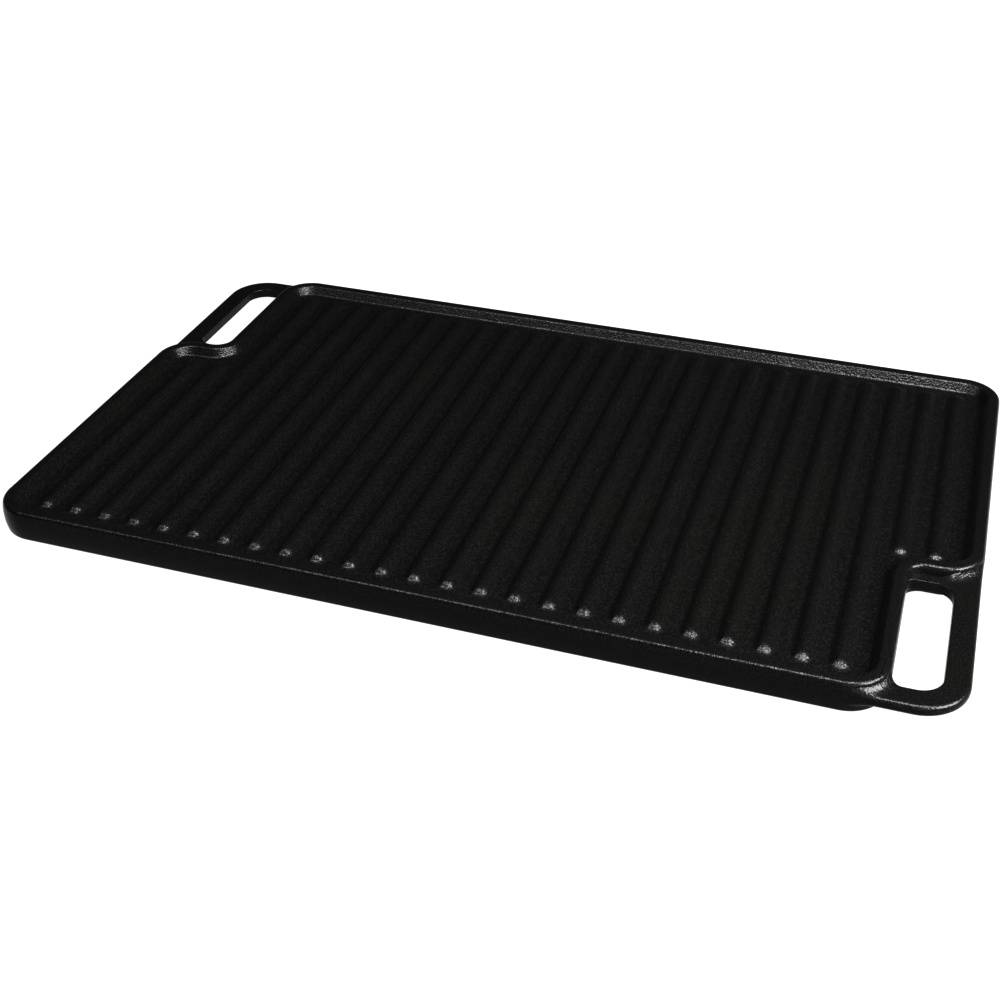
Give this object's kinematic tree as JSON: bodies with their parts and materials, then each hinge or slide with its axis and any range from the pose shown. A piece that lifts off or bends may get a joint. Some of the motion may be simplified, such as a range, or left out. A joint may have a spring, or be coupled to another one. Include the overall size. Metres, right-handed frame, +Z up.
{
  "type": "camp griddle plate",
  "caption": "Reversible cast-iron griddle plate with a ribbed face, a raised rim and a loop handle in a stepped-in corner at each end.",
  "frame": {"origin": "middle of the plate in plan, on the plane that the lower rim rests on", "axes": "+X along the plate's length to its right end, +Y to its back, +Z up out of the ribbed face"},
  "size_m": [0.613, 0.374, 0.021],
  "materials": {
    "seasoned_iron": "satin"
  },
  "bodies": {
    "root": {"cooking_plate": "seasoned_iron", "long_ribs": "seasoned_iron", "right_short_ribs": "seasoned_iron", "left_short_ribs": "seasoned_iron", "front_rim": "seasoned_iron", "back_rim": "seasoned_iron", "right_rim": "seasoned_iron", "left_rim": "seasoned_iron", "front_right_notch_rim": "seasoned_iron", "back_left_notch_rim": "seasoned_iron", "front_right_handle": "seasoned_iron", "back_left_handle": "seasoned_iron"}
  },
  "joints": []
}
